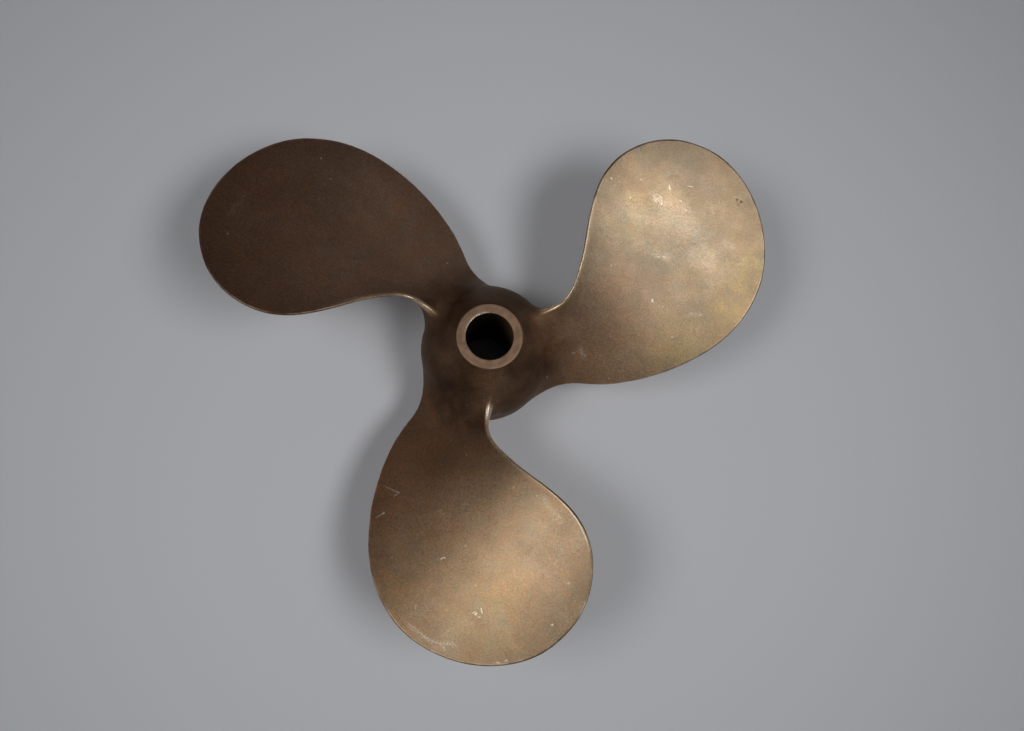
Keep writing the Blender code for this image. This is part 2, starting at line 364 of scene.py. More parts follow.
# Noises: waves in a metre, detail, roughness and distortion
CLOUDS = (24.0, 4.0, 0.6)
BLOTCHES = (80.0, 4.0, 0.6, 0.4)
GRAIN = (640.0, 3.0, 0.7)
GRIT = (1500.0, 2.0, 0.7)
FINE_HUE = (120.0, 5.0, 0.7, 0.6)
BROAD_HUE = (38.0, 3.0, 0.6, 0.5)
DUST = (1300.0, 3.0, 0.65)
BREAKS = (1100.0, 4.0, 0.75)
TOOL_RINGS = (900.0, 2.0, 0.6, 0.0)
TURNED_BLOTCHES = (260.0, 3.0, 0.6)
LIP_GLINT_BREAKS = (1400.0, 2.0, 0.55)
BORE_BLOTCHES = (180.0, 3.0, 0.6)

# Smooth changes: where they start and end, then the values there, or else 0 and 1
OFF_BLADE = (0.0, 1.0, 1.0, 0.0)
RIGHT_WEAR_AND_HIGHLIGHT = (0.0, 0.065)
GOLD_CLOUDS = (0.36, 0.64)
# Painted light and shade across the right and lower blades
RIGHT_PAINTED_LIGHT = (-0.01, 0.03, 0.26, -0.03)
LOWER_PAINTED_LIGHT_AND_SHADE = (-0.015, 0.045, 0.12, -0.18)
HUB_MOTTLE = (0.35, 0.65, -0.14, 0.14)
CLOUD_TONE = (0.3, 0.7, 0.94, 1.05)
BLOTCH_TONE = (0.3, 0.7, 0.93, 1.07)
GRAIN_TONE = (0.25, 0.75, 0.88, 1.12)
GRIT_TONE = (0.25, 0.75, 0.75, 1.25)
EDGE_TONE = (0.002, 0.02, 0.88, 1.0)
FINE_HUE_TURN = (0.36, 0.64)
FINE_HUE_SHARE = (0.0, 1.0, 1.0, 0.6)
BROAD_HUE_TURN = (0.38, 0.62)
BROAD_HUE_SHARE = (0.0, 1.0, 0.4, 0.2)
RAGGED_PATCH = (0.35, 0.65, 0.5, 1.3)
DUST_GRAINS = (0.54, 0.66)
DUST_DRIFTS = (0.4, 0.62, 0.08, 0.38)
FLECK_DRIFTS = (0.44, 0.6)
SMEAR_BREAKS = (0.44, 0.62)
MARK_BREAKS = (0.35, 0.55, 0.4, 1.0)
GLINT_ON_RIDGE = (0.05, 0.5)
THIN_EDGE = (0.0004, 0.0016, 1.0, 0.0)
EDGE_WEAR = (0.42, 0.6, 0.0, 0.25)
LEFT_EDGE_WEAR = (0.0, 1.0, 1.0, 0.4)
EDGE_HIGHLIGHT_REACH = (0.0011, 0.0019, 1.0, 0.0)
CAST_METALLIC = (0.0, 1.0, 0.68, 0.88)
CAST_GLOSS = (0.0, 1.0, 0.1, 0.4)
CLOUD_ROUGHNESS = (0.3, 0.7, 0.38, 0.35)
HUB_ROUGHNESS = (0.0, 1.0, 0.08, 0.0)
GRAIN_ROUGHNESS = (0.3, 0.7, -0.03, 0.03)
TURNED_MIX = (0.35, 0.65)
TOOL_RING_TONE = (0.3, 0.7, 0.85, 1.15)
LIP_REACH = (0.0139, 0.0147, 1.0, 0.0)
LIP_GLINT_SPECKS = (0.42, 0.56)
TURNED_ROUGHNESS = (0.3, 0.7, 0.44, 0.56)
BORE_SHEEN_RISE = (0.03, 0.079)
BORE_DEPTH_SHADE = (0.0, 0.055, 0.25, 1.0)
BORE_ROUGHNESS = (0.3, 0.7, 0.5, 0.7)

# Raggedness of marks and flecks: waves in a metre, detail, and how far rims move in metres
SHAKE_WAVES = 900.0
SHAKE_DETAIL = 2.0
SHAKE_REACH = 0.0016

# Half width of a stroke in metres for each millimetre of its width, and its solid share
STROKE_REACH = 0.0007
SOLID_SHARE = 0.43

# Flecks: cells in a metre, the size of a fleck as a share of its cell, the share of the cells
# that have one, and the strength of the strongest
FLECK_CELLS = 240.0
FLECK_SIZE = 0.13
FLECK_SHARE = 0.16
FLECK_STRENGTH = 0.35

# How strongly marks cover the patina, and what they and the ridges change in its roughness
PALE_COVER = 0.95
DARK_COVER = 0.85
RIDGE_SMOOTHING = 0.18
GLINT_SMOOTHING = 0.04
PALE_ROUGHENING = 0.05

# Relief: greatest depth in metres, and the shares of grain, grit and dark pits in it
RELIEF = 0.00003
GRAIN_RELIEF = 0.6
GRIT_RELIEF = 0.3
PIT_RELIEF = 0.8

TURNED_METALLIC = 0.7
BORE_METALLIC = 0.4
BORE_GLOSS = 0.1

TIP_RADIUS = DIAMETER / 2
HELIX_RISE = PITCH / (2 * math.pi)
RAKE_SLOPE = math.tan(math.radians(RAKE_ANGLE))
RING_POINTS = 2 * CHORD_STEPS
PATCH_END_STEPS = RING_POINTS // 2 - PATCH_SIDE_STEPS


def hub_radius_at(height):
    """Outer radius of the hub at heights above its forward face, without the chamfers."""
    below_aft = HUB_LENGTH - height
    flare = np.clip(below_aft / FLARE_LENGTH, 0, 1)
    flared = AFT_FACE_RADIUS + (HUB_RADIUS - AFT_FACE_RADIUS) * np.sin(flare * math.pi / 2)
    fore = np.clip((below_aft - FLARE_LENGTH) / (HUB_LENGTH - FLARE_LENGTH), 0, 1)
    forebody = HUB_RADIUS - (HUB_RADIUS - FORWARD_FACE_RADIUS) * fore ** 2
    return np.where(below_aft < FLARE_LENGTH, flared, forebody)


def bore_radius_at(height):
    """Radius of the tapered bore at a height above the forward face."""
    return (SHAFT_DIAMETER - BORE_TAPER * height) / 2


def smooth_value(places, values, place):
    """Values at places on a smooth curve through the given values (cubic Hermite)."""
    slopes = np.gradient(values, places)
    index = np.clip(np.searchsorted(places, place) - 1, 0, len(places) - 2)
    width = places[index + 1] - places[index]
    share = (place - places[index]) / width
    rest = 1 - share
    start = values[index] * (1 + 2 * share) + slopes[index] * width * share
    end = values[index + 1] * (1 + 2 * rest) - slopes[index + 1] * width * rest
    return start * rest ** 2 + end * share ** 2


# Bearings of both edges from the tip's, over the square root that makes the tip round
STATIONS, LEADING_EDGE, TRAILING_EDGE = np.array(OUTLINE).T
LEADING_CURVE = (LEADING_EDGE - TIP_BEARING) / np.sqrt(1 - STATIONS)
TRAILING_CURVE = (TRAILING_EDGE - TIP_BEARING) / np.sqrt(1 - STATIONS)


def edge_bearing(curve, radius):
    """Bearing, in radians from the generator line, of a blade edge at each radius."""
    station = np.minimum(radius / TIP_RADIUS, 1.0)
    return np.radians(TIP_BEARING + smooth_value(STATIONS, curve, station) * np.sqrt(1 - station))


def blade_thickness(radius):
    share = (radius / TIP_RADIUS - ROOT_STATION) / (1 - ROOT_STATION)
    return ROOT_THICKNESS + (TIP_THICKNESS - ROOT_THICKNESS) * share


def face_height(radius, bearing):
    """Height of the blade's aft face, a helicoid with rake."""
    return GENERATOR_HEIGHT + RAKE_SLOPE * radius + HELIX_RISE * bearing


def smooth_step(low, high, value):
    share = np.clip((value - low) / (high - low), 0, 1)
    return share * share * (3 - 2 * share)


def section_radius(nominal_radius, height):
    """Radius of a section's points: the nominal one, bent to follow the hub near the root."""
    start = HUB_RADIUS + FILLET_RADIUS
    following = 1 - smooth_step(start, HUB_FOLLOWING_END * TIP_RADIUS, nominal_radius)
    return nominal_radius + following * (hub_radius_at(height) - HUB_RADIUS)


def edge_point(curve, nominal_radius):
    """Bearing of a section's edge, where the section meets the blade's outline."""
    radius = nominal_radius
    for _ in range(EDGE_PASSES):
        bearing = edge_bearing(curve, radius)
        radius = section_radius(nominal_radius, face_height(radius, bearing))
    return bearing


def edge_distance(radius, bearing, from_edge):
    """Distance to the blade's outline: along the chord, and towards the round tip near the tip."""
    station = np.minimum(radius / TIP_RADIUS, 1.0)
    off_tip = bearing - math.radians(TIP_BEARING)
    leading = -smooth_value(STATIONS, LEADING_CURVE, station)
    trailing = smooth_value(STATIONS, TRAILING_CURVE, station)
    curve = np.radians(np.where(off_tip > 0, trailing, leading))
    curve = np.maximum(curve, LEAST_ROUNDNESS)
    inside = np.maximum(1 - station - (off_tip / curve) ** 2, 0)
    slope = np.hypot(1 / TIP_RADIUS, 2 * off_tip / (curve ** 2 * radius))
    share = smooth_step(TIP_BLEND_START, TIP_BLEND_END, station)
    return from_edge * (1 - share) + inside / slope * share


def blade_rings():
    """Rings of one blade, up the root fillet and out to just short of the tip.

    Gives radius, bearing and height of each point, its distance from the blade's edge,
    whether it lies on the aft side and how far it belongs to the ridge of the trailing edge.
    """
    angle = np.radians(90) * (1 - np.arange(FILLET_STEPS) / FILLET_STEPS)
    start = HUB_RADIUS + FILLET_RADIUS
    span = np.sin(np.radians(90) * np.arange(SPAN_STEPS) / SPAN_STEPS)
    nominal = np.concatenate([
        HUB_RADIUS + FILLET_RADIUS * (1 - np.sin(angle)),
        start + (TIP_RADIUS - start) * span,
    ])[:, None]
    spread = np.concatenate([FILLET_RADIUS * (1 - np.cos(angle)), np.zeros(SPAN_STEPS)])[:, None]
    turn = np.radians(180) * np.arange(RING_POINTS)[None, :] / CHORD_STEPS
    leading = edge_point(LEADING_CURVE, nominal)
    trailing = edge_point(TRAILING_CURVE, nominal)
    across = (1 - np.cos(turn)) / 2
    bearing = leading + (trailing - leading) * across
    radius = nominal
    for _ in range(SECTION_PASSES):
        radius = section_radius(nominal, face_height(radius, bearing))
    helix_length = np.hypot(radius, HELIX_RISE)
    chord = (trailing - leading) * helix_length
    thickness = blade_thickness(radius)
    edge_gap = edge_distance(radius, bearing, np.minimum(across, 1 - across) * chord)
    half_edge = EDGE_THICKNESS / 2
    rounding = np.sqrt(1 - (1 - np.minimum(edge_gap / half_edge, 1.0)) ** 2)
    full = EDGE_THICKNESS + (thickness - EDGE_THICKNESS) * 4 * across * (1 - across)
    aft_side = np.sin(turn) >= 0
    depth = np.where(aft_side, half_edge * rounding, -(full - half_edge) * rounding) - half_edge
    normal_along = -np.cos(turn) / chord
    normal_deep = np.sin(turn) / thickness
    size = np.hypot(normal_along, normal_deep)
    local_spread = spread * (1 - (1 - TRAILING_FILLET_SHARE) * across)
    trailing_half = across > 0.5
    shift = local_spread * np.where(trailing_half, np.cos(turn) ** 2, normal_along / size)
    depth = depth + local_spread * np.where(trailing_half, np.sin(turn), normal_deep / size)
    height = face_height(radius, bearing) + (shift * HELIX_RISE + depth * radius) / helix_length
    bearing = bearing + (shift * radius - depth * HELIX_RISE) / helix_length / radius
    radius = section_radius(nominal, height)
    foot_start = HUB_RADIUS + FOOT_START * FILLET_RADIUS
    foot = smooth_step(foot_start, HUB_RADIUS + FOOT_END * FILLET_RADIUS, nominal)
    edge_gap = edge_gap + INNER_GAP * (1 - foot)
    inner = foot * (1 - smooth_step(RIDGE_START, RIDGE_END, nominal / TIP_RADIUS))
    ridge = inner * smooth_step(RIDGE_ACROSS, 1.0, across)
    return radius, bearing, height, edge_gap, np.broadcast_to(aft_side, radius.shape), ridge


def patch_outline():
    """Bearings and heights round one blade's share of the hub, clockwise from the lower left."""
    side = np.arange(PATCH_SIDE_STEPS) / PATCH_SIDE_STEPS
    end = np.arange(PATCH_END_STEPS) / PATCH_END_STEPS
    half = 180 / BLADE_COUNT
    low, high = PATCH_BOTTOM_BEARING, PATCH_TOP_BEARING
    bearing = np.concatenate([
        low - half + (high - low) * side,
        high - half + 2 * half * end,
        high + half + (low - high) * side,
        low + half - 2 * half * end,
    ])
    height = np.concatenate([
        PATCH_BOTTOM + (PATCH_TOP - PATCH_BOTTOM) * side,
        np.full(PATCH_END_STEPS, PATCH_TOP),
        PATCH_TOP + (PATCH_BOTTOM - PATCH_TOP) * side,
        np.full(PATCH_END_STEPS, PATCH_BOTTOM),
    ])
    return np.radians(bearing), height


def hub_patch(foot_bearing, foot_height):
    """Rings on the hub's surface between the fillet's foot and the edge of the blade's share."""
    bearing, height = patch_outline()
    costs = []
    for step in range(RING_POINTS):
        along = HUB_RADIUS * (np.roll(bearing, -step) - foot_bearing)
        costs.append(np.sum(along ** 2 + (np.roll(height, -step) - foot_height) ** 2))
    best = int(np.argmin(costs))
    bearing, height = np.roll(bearing, -best), np.roll(height, -best)
    share = (np.arange(PATCH_STEPS + 1) / PATCH_STEPS)[:, None]
    grid = np.stack([
        foot_bearing + (bearing - foot_bearing) * share,
        foot_height + (height - foot_height) * share,
    ])
    for _ in range(PATCH_PASSES):
        around = (np.roll(grid, 1, axis=2) + np.roll(grid, -1, axis=2)) / 2
        across = (grid[:, :-2] + grid[:, 2:]) / 2
        grid[:, 1:-1] = RING_PULL * around[:, 1:-1] + (1 - RING_PULL) * across
    return hub_radius_at(grid[1]), grid[0], grid[1]


def to_points(radius, bearing, height):
    return np.stack([radius * np.cos(bearing), radius * np.sin(bearing), height], axis=-1)


def end_rings():
    """Turned rings: the hub's aft end, its face, the bore, the forward face and the forward end.

    Each ring has its radius, its height and the material of the faces up to the next ring.
    """
    rim = AFT_FACE_RADIUS - AFT_CHAMFER
    mouth = bore_radius_at(HUB_LENGTH) + MOUTH_ROUNDING
    foot = bore_radius_at(0.0) + BORE_CHAMFER
    fore_rim = FORWARD_FACE_RADIUS - FORWARD_CHAMFER
    heights = np.linspace(PATCH_TOP, HUB_LENGTH - AFT_CHAMFER, AFT_END_STEPS + 1)
    rings = [(float(hub_radius_at(z)), z, CAST) for z in heights[:-1]]
    for angle in np.radians(90 * np.arange(AFT_CHAMFER_STEPS) / AFT_CHAMFER_STEPS):
        drop = AFT_CHAMFER * (1 - math.sin(angle))
        rings.append((rim + AFT_CHAMFER * math.cos(angle), HUB_LENGTH - drop, MACHINED))
    aft_face = np.linspace(rim, mouth, AFT_FACE_STEPS + 1)
    rings += [(r, HUB_LENGTH, MACHINED) for r in aft_face]
    for angle in np.radians(90 * np.arange(1, MOUTH_STEPS) / MOUTH_STEPS):
        drop = MOUTH_ROUNDING * (1 - math.cos(angle))
        rings.append((mouth - MOUTH_ROUNDING * math.sin(angle), HUB_LENGTH - drop, MACHINED))
    deep = np.linspace(HUB_LENGTH - MOUTH_ROUNDING, BORE_CHAMFER, BORE_STEPS + 1)
    rings += [(bore_radius_at(z), z, BORED) for z in deep]
    forward_face = np.linspace(foot, fore_rim, FORWARD_FACE_STEPS + 1)
    rings += [(r, 0.0, MACHINED) for r in forward_face]
    for angle in np.radians(np.linspace(0, 90, FORWARD_CHAMFER_STEPS + 1)[1:]):
        inset = FORWARD_CHAMFER * (1 - math.sin(angle))
        rings.append((FORWARD_FACE_RADIUS - inset, FORWARD_CHAMFER * (1 - math.cos(angle)), CAST))
    for height in np.linspace(FORWARD_CHAMFER, PATCH_BOTTOM, FORWARD_END_STEPS + 1)[1:]:
        rings.append((float(hub_radius_at(height)), height, CAST))
    return rings


class Casting:
    """The propeller's surface, built ring by ring, with what its points tell the materials."""

    def __init__(self):
        self.form = bmesh.new()
        layers = self.form.verts.layers
        self.edge_layer = layers.float.new("edge_gap")
        self.ridge_layer = layers.float.new("ridge")
        self.face_layer = layers.float.new("aft_side")
        self.blade_layer = layers.float_vector.new("blade")

    def add_ring(self, points, gaps=None, sides=None, ridge=None, blade=None):
        ring = [self.form.verts.new(point) for point in points]
        for place, vert in enumerate(ring):
            vert[self.edge_layer] = INNER_GAP if gaps is None else min(gaps[place], INNER_GAP)
            vert[self.face_layer] = 0.0 if sides is None else float(sides[place])
            vert[self.ridge_layer] = 0.0 if ridge is None else float(ridge[place])
            if blade is not None:
                out = math.hypot(*points[place][:2])
                tone = smooth_step(ROOT_TONE_START, ROOT_TONE_END, out)
                vert[self.blade_layer][blade] = float(tone)
        return ring

    def bridge(self, lower, upper, material=CAST):
        count = len(lower)
        for i in range(count):
            j = (i + 1) % count
            face = self.form.faces.new((lower[i], lower[j], upper[j], upper[i]))
            face.material_index = material

    def add_blades(self):
        """The blades, each from its share of the hub out to its tip."""
        radius, bearing, height, edge_gap, aft_side, ridge = blade_rings()
        patch = hub_patch(bearing[0], height[0])
        tip_turn = math.radians(TIP_BEARING)
        tip_height = face_height(TIP_RADIUS, tip_turn) - EDGE_THICKNESS / 2
        for index in range(BLADE_COUNT):
            turn = math.radians(FIRST_BLADE_BEARING + 360 * index / BLADE_COUNT)
            shell = to_points(patch[0], patch[1] + turn, patch[2])[::-1]
            rings = [self.add_ring(points) for points in shell[:-1]]
            points = to_points(radius, bearing + turn, height)
            rings += [self.add_ring(*row, index) for row in zip(points, edge_gap, aft_side, ridge)]
            for lower, upper in zip(rings, rings[1:]):
                self.bridge(lower, upper)
            tip_place = to_points(TIP_RADIUS, tip_turn + turn, tip_height)
            tip = self.add_ring([tip_place], [0.0], [1.0], [0.0], index)[0]
            for i in range(RING_POINTS):
                self.form.faces.new((rings[-1][i], rings[-1][(i + 1) % RING_POINTS], tip))

    def add_hub_ends(self):
        """The turned ends of the hub and the bore through it."""
        sides = BLADE_COUNT * PATCH_END_STEPS
        start = math.radians(FIRST_BLADE_BEARING + PATCH_TOP_BEARING - 180 / BLADE_COUNT)
        around = start + math.tau * np.arange(sides) / sides
        turned = end_rings()
        rings = []
        for radius, height, _ in turned:
            points = to_points(np.full(sides, radius), around, np.full(sides, height))
            rings.append(self.add_ring(points))
        for lower, upper, row in zip(rings, rings[1:], turned):
            self.bridge(lower, upper, row[2])

    def join(self):
        bmesh.ops.remove_doubles(self.form, verts=self.form.verts, dist=MERGE_DISTANCE)
        bmesh.ops.recalc_face_normals(self.form, faces=self.form.faces)
        self.form.normal_update()

    def add_unevenness(self):
        """Faint waves all over the cast surface. The turned faces stay true."""
        machined = [face for face in self.form.faces if face.material_index != CAST]
        turned_points = {vert for face in machined for vert in face.verts}
        for vert in self.form.verts:
            if vert not in turned_points:
                wave = sum(depth * noise.noise(vert.co * scale) for depth, scale in RIPPLES)
                vert.co += vert.normal * wave

    def make_piece(self, name):
        mesh = bpy.data.meshes.new(name)
        self.form.to_mesh(mesh)
        self.form.free()
        mesh.shade_smooth()
        mesh.set_sharp_from_angle(angle=math.radians(SHARP_ANGLE))
        piece = bpy.data.objects.new(name, mesh)
        bpy.context.scene.collection.objects.link(piece)
        return piece


def build_propeller():
    casting = Casting()
    casting.add_blades()
    casting.add_hub_ends()
    casting.join()
    casting.add_unevenness()
    return casting.make_piece("propeller_casting")


def metres(point):
    """A place in plan, given in millimetres, as a vector in metres."""
    return Vector((point[0] / 1000, point[1] / 1000, 0.0))


class Graph:
    """Short names for adding and linking a material's nodes."""

    def __init__(self, name):
        self.material = bpy.data.materials.new(name)
        self.material.use_nodes = True
        self.tree = self.material.node_tree
        self.shader = self.tree.nodes["Principled BSDF"]
        self.place = self.add("ShaderNodeTexCoord").outputs["Object"]
        self.axes = self.add("ShaderNodeSeparateXYZ", Vector=self.place).outputs
        plan = self.add("ShaderNodeCombineXYZ", X=self.axes[0], Y=self.axes[1])
        self.plan = plan.outputs[0]

    def add(self, kind, settings=None, **sockets):
        node = self.tree.nodes.new(kind)
        for name, value in (settings or {}).items():
            setattr(node, name, value)
        for name, value in sockets.items():
            self.feed(node.inputs[name.replace("_", " ")], value)
        return node

    def feed(self, socket, value):
        if isinstance(value, bpy.types.NodeSocket):
            self.tree.links.new(value, socket)
        else:
            socket.default_value = value

    def set_shader(self, **sockets):
        """Set or link sockets of the shader."""
        for name, value in sockets.items():
            self.feed(self.shader.inputs[name.replace("_", " ")], value)

    def math(self, operation, first, second, clamp=False):
        node = self.add("ShaderNodeMath", {"operation": operation, "use_clamp": clamp})
        self.feed(node.inputs[0], first)
        self.feed(node.inputs[1], second)
        return node.outputs[0]

    def plus(self, total, *terms):
        for term in terms:
            total = self.math("ADD", total, term)
        return total

    def times(self, product, *factors):
        for factor in factors:
            product = self.math("MULTIPLY", product, factor)
        return product

    def vector_math(self, operation, *values):
        """Outputs of a vector operation on up to three vectors."""
        node = self.add("ShaderNodeVectorMath", {"operation": operation})
        for socket, value in zip(node.inputs, values):
            self.feed(socket, value)
        return node.outputs

    def step(self, value, low, high, start=0.0, end=1.0):
        """Smooth change from start to end while the value goes from low to high."""
        node = self.add("ShaderNodeMapRange", {"interpolation_type": "SMOOTHSTEP"}, Value=value)
        limits = {"From Min": low, "From Max": high, "To Min": start, "To Max": end}
        for name, number in limits.items():
            self.feed(node.inputs[name], number)
        return node.outputs[0]

    def mix(self, share, first, second, blend="MIX"):
        node = self.add("ShaderNodeMix", {"data_type": "RGBA", "blend_type": blend})
        self.feed(node.inputs[0], share)
        self.feed(node.inputs[6], first)
        self.feed(node.inputs[7], second)
        return node.outputs[2]

    def noise(self, scale, detail, roughness, distortion=0.0, vector=None):
        node = self.add("ShaderNodeTexNoise", Scale=scale, Detail=detail, Roughness=roughness)
        self.feed(node.inputs["Distortion"], distortion)
        self.feed(node.inputs["Vector"], vector or self.place)
        return node.outputs["Fac"]

    def attribute(self, name, output="Fac"):
        return self.add("ShaderNodeAttribute", {"attribute_name": name}).outputs[output]

    def bump(self, height):
        node = self.add("ShaderNodeBump", Distance=RELIEF, Height=height)
        self.set_shader(Normal=node.outputs["Normal"])

    def distance_to(self, point):
        """Distance in plan from a point given in millimetres."""
        return self.vector_math("DISTANCE", self.plan, metres(point))["Value"]

    def blob(self, patch):
        """Soft round patch in plan: its centre, its radius in millimetres and its strength."""
        point, radius, strength = patch
        return self.step(self.distance_to(point), 0.0, radius / 1000, strength, 0.0)

    def sum_of(self, blobs, clamp=True):
        """Sum of soft round patches, kept between 0 and 1 unless clamp is off."""
        total = 0.0
        for patch in blobs:
            total = self.math("ADD", total, self.blob(patch), clamp)
        return total

    def offset_and_share(self, place, first, last):
        """A place's offset from the first point, and its share of the way to the last."""
        offset = self.vector_math("SUBTRACT", place, first)["Vector"]
        way = (last - first) / (last - first).length_squared
        return offset, self.vector_math("DOT_PRODUCT", offset, way)["Value"]

    def along(self, start, end):
        """Smooth rise from 0 to 1 on the way from start to end in plan, in millimetres."""
        share = self.offset_and_share(self.plan, metres(start), metres(end))[1]
        return self.step(share, 0.0, 1.0)

    def strokes(self, place, marks, solid=SOLID_SHARE):
        """Short strokes in plan, each with two ends, a width and a strength.

        The solid share of a stroke's half width is at full strength, and the rest fades out.
        """
        total = 0.0
        for start, end, width, strength in marks:
            first, last = metres(start), metres(end)
            offset, share = self.offset_and_share(place, first, last)
            share = self.math("MAXIMUM", self.math("MINIMUM", share, 1.0), 0.0)
            nearest = self.add("ShaderNodeVectorMath", {"operation": "SCALE"}, Scale=share)
            nearest.inputs[0].default_value = last - first
            gap = self.vector_math("DISTANCE", offset, nearest.outputs["Vector"])["Value"]
            reach = width * STROKE_REACH
            mark = self.step(gap, reach * solid, reach, strength, 0.0)
            total = self.math("MAXIMUM", total, mark)
        return total

    def flecks(self, place):
        """Small flecks in a random share of a grid's cells, each of its own strength."""
        node = self.add("ShaderNodeTexVoronoi", Scale=FLECK_CELLS, Vector=place)
        colour = self.add("ShaderNodeSeparateColor", Color=node.outputs["Color"]).outputs
        chosen = self.step(colour[0], FLECK_SHARE / 2, FLECK_SHARE, FLECK_STRENGTH, 0.0)
        mark = self.step(node.outputs["Distance"], FLECK_SIZE / 2, FLECK_SIZE, 1.0, 0.0)
        return self.times(mark, chosen)


class CastBronze(Graph):
    """Bronze casting with a brown patina, gold on the right and lower blades: partly wear, partly
    painted light of the lamps' highlights.
    """

    def __init__(self):
        super().__init__("aged_bronze")
        blade = self.attribute("blade", "Vector")
        blades = self.add("ShaderNodeSeparateXYZ", Vector=blade).outputs
        self.right, self.left, self.lower = blades
        self.on_blade = self.plus(*blades)
        self.aft = self.attribute("aft_side")
        self.gap = self.attribute("edge_gap")
        self.ridge = self.attribute("ridge")
        self.clouds = self.noise(*CLOUDS)
        self.blotches = self.noise(*BLOTCHES)
        self.grain = self.noise(*GRAIN)
        self.grit = self.noise(*GRIT)
        shake = self.add("ShaderNodeTexNoise", Vector=self.place, Scale=SHAKE_WAVES)
        shake.inputs["Detail"].default_value = SHAKE_DETAIL
        reach = (SHAKE_REACH, SHAKE_REACH, 0.0)
        shaken = self.vector_math("MULTIPLY_ADD", shake.outputs["Color"], reach, self.plan)
        self.ragged = shaken["Vector"]
        # Painted glint on the lower blade's ridge
        self.glint = self.times(self.blob(RIDGE_GLINT), self.step(self.ridge, *GLINT_ON_RIDGE))
        # Gold on the right and lower blades: partly wear, partly painted highlight
        right_wear_and_highlight = self.step(self.distance_to(RIGHT_ROOT), *RIGHT_WEAR_AND_HIGHLIGHT)
        lower_wear_and_highlight = self.along(LOWER_SHADED, LOWER_LIT)
        self.worn_and_lit = self.plus(
            self.times(self.right, right_wear_and_highlight),
            self.times(self.lower, lower_wear_and_highlight),
        )

    def patina(self):
        """Brown on all of the hub and the left blade and at the others' roots, gold beyond, partly
        as painted light and shade.
        """
        hub_glow = self.sum_of((HUB_RIGHT_PATCH, HUB_LOWER_PATCH, HUB_GOLD_PATCH))
        hub_brown = self.mix(hub_glow, HUB_BROWN, HUB_PATCH_BROWN)
        left_brown = self.mix(self.along(LEFT_ROOT, LEFT_TIP), LEFT_ROOT_BROWN, LEFT_TIP_BROWN)
        brown = self.mix(self.right, hub_brown, RIGHT_BROWN)
        brown = self.mix(self.lower, brown, LOWER_BROWN)
        brown = self.mix(self.left, brown, left_brown)
        gold = self.mix(self.step(self.clouds, *GOLD_CLOUDS), GREY_GOLD, WARM_GOLD)
        gold = self.mix(self.lower, gold, LOWER_GOLD)
        colour = self.mix(self.worn_and_lit, brown, gold)
        # Trailing-edge ridges at the roots: worn metal, brightened as painted highlight
        colour = self.mix(self.ridge, colour, RIDGE_GOLD_AND_HIGHLIGHT)
        # Painted glint on the lower blade's ridge
        return self.mix(self.glint, colour, PALE_MARK_AND_GLINT)

    def mottled(self, colour):
        """Lighter and darker: across two blades as painted light and shade, in patches that are
        partly painted light, on the hub and by each noise.
        """
        shade = self.plus(
            # Painted light on the right blade below the axis and on the lower blade's left, painted
            # shade on its right
            self.times(self.right, self.step(self.axes[1], *RIGHT_PAINTED_LIGHT)),
            self.times(self.lower, self.step(self.axes[0], *LOWER_PAINTED_LIGHT_AND_SHADE)),
            1.0,
            self.sum_of(TONE_AND_PAINTED_LIGHT_PATCHES, False),
            self.times(self.step(self.blotches, *HUB_MOTTLE), self.step(self.on_blade, *OFF_BLADE)),
        )
        shade = self.times(
            shade,
            self.step(self.clouds, *CLOUD_TONE),
            self.step(self.blotches, *BLOTCH_TONE),
            self.step(self.grain, *GRAIN_TONE),
            self.step(self.grit, *GRIT_TONE),
            self.step(self.gap, *EDGE_TONE),
        )
        return self.mix(1.0, colour, shade, "MULTIPLY")

    def tinted(self, colour):
        """Warmer and cooler by two noises, less so on the right blade, then in patches."""
        for texture, turn, share in (
            (FINE_HUE, FINE_HUE_TURN, FINE_HUE_SHARE),
            (BROAD_HUE, BROAD_HUE_TURN, BROAD_HUE_SHARE),
        ):
            tint = self.mix(self.step(self.noise(*texture), *turn), WARM_TINT, COOL_TINT)
            colour = self.mix(self.step(self.right, *share), colour, tint, "MULTIPLY")
        rim = self.step(self.blotches, *RAGGED_PATCH)
        for blobs, tint in ((YELLOW_PATCHES, YELLOW_TINT), (ROSY_PATCHES, ROSY_TINT)):
            colour = self.mix(self.times(self.sum_of(blobs), rim), colour, tint, "MULTIPLY")
        return colour

    def dusted(self, colour):
        """Fine golden dust in drifts where the patina is worn to gold, which is partly painted
        light.
        """
        grains = self.step(self.noise(*DUST), *DUST_GRAINS)
        dust = self.times(grains, self.worn_and_lit, self.step(self.blotches, *DUST_DRIFTS))
        return self.mix(dust, colour, DUST_GOLD)

    def pale_marks(self):
        """Flecks, smears and scratches of the aft side."""
        flecks = self.times(self.flecks(self.ragged), self.step(self.blotches, *FLECK_DRIFTS))
        breaks = self.noise(*BREAKS)
        smears = self.strokes(self.ragged, PALE_SMEARS, 0.0)
        smears = self.times(smears, self.step(breaks, *SMEAR_BREAKS))
        marks = self.strokes(self.ragged, PALE_MARKS)
        marks = self.times(marks, self.step(breaks, *MARK_BREAKS))
        pale = self.math("MAXIMUM", self.math("MAXIMUM", flecks, smears), marks)
        return self.math("MULTIPLY", pale, self.aft, True)

    def dark_marks(self):
        """Pits and a scratch of the aft side."""
        dark = self.strokes(self.ragged, DARK_MARKS)
        return self.math("MULTIPLY", dark, self.aft, True)

